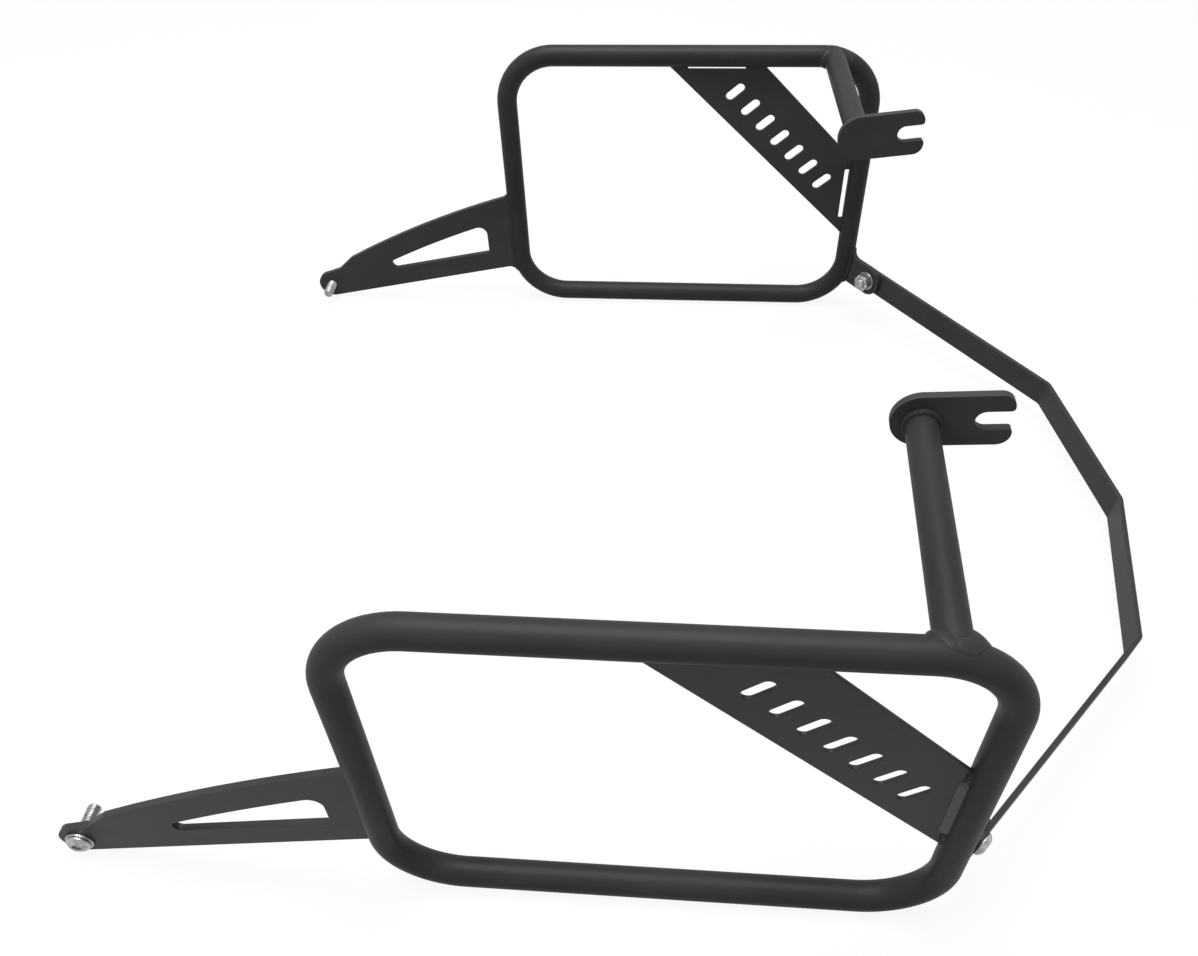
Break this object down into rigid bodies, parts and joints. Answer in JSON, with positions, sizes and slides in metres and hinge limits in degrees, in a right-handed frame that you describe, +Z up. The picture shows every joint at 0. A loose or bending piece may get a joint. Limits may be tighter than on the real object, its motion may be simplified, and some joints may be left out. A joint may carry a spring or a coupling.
{
  "type": "pannier frame",
  "caption": "Motorbike pannier frame: a round-cornered tube loop for each side with a diagonal slotted plate, front arm and forked stand-off, joined by a bolted flat rear strap.",
  "frame": {"origin": "middle of the whole frame in plan, at the underside of the two bottom rails it rests on", "axes": "+X to the back of the motorbike, +Y to its right, +Z up"},
  "size_m": [0.6476, 0.5724, 0.2464],
  "materials": {
    "powder_coat": "black satin powder coat with a fine orange-peel texture",
    "zinc": "bright zinc plate"
  },
  "bodies": {
    "root": {"loop_left": "powder_coat", "loop_right": "powder_coat", "gusset_left": "powder_coat", "gusset_right": "powder_coat", "front_arm_left": "powder_coat", "front_arm_right": "powder_coat", "standoff_left": "powder_coat", "standoff_right": "powder_coat", "fork_plate_left": "powder_coat", "fork_plate_right": "powder_coat", "strap_lug_left": "powder_coat", "strap_lug_right": "powder_coat", "rear_strap": "powder_coat", "front_screw_left": "zinc", "front_screw_right": "zinc", "front_washer_left": "zinc", "front_washer_right": "zinc", "strap_screw_left": "zinc", "strap_screw_right": "zinc", "strap_washer_left": "zinc", "strap_washer_right": "zinc", "strap_nut_left": "zinc", "strap_nut_right": "zinc"}
  },
  "joints": []
}
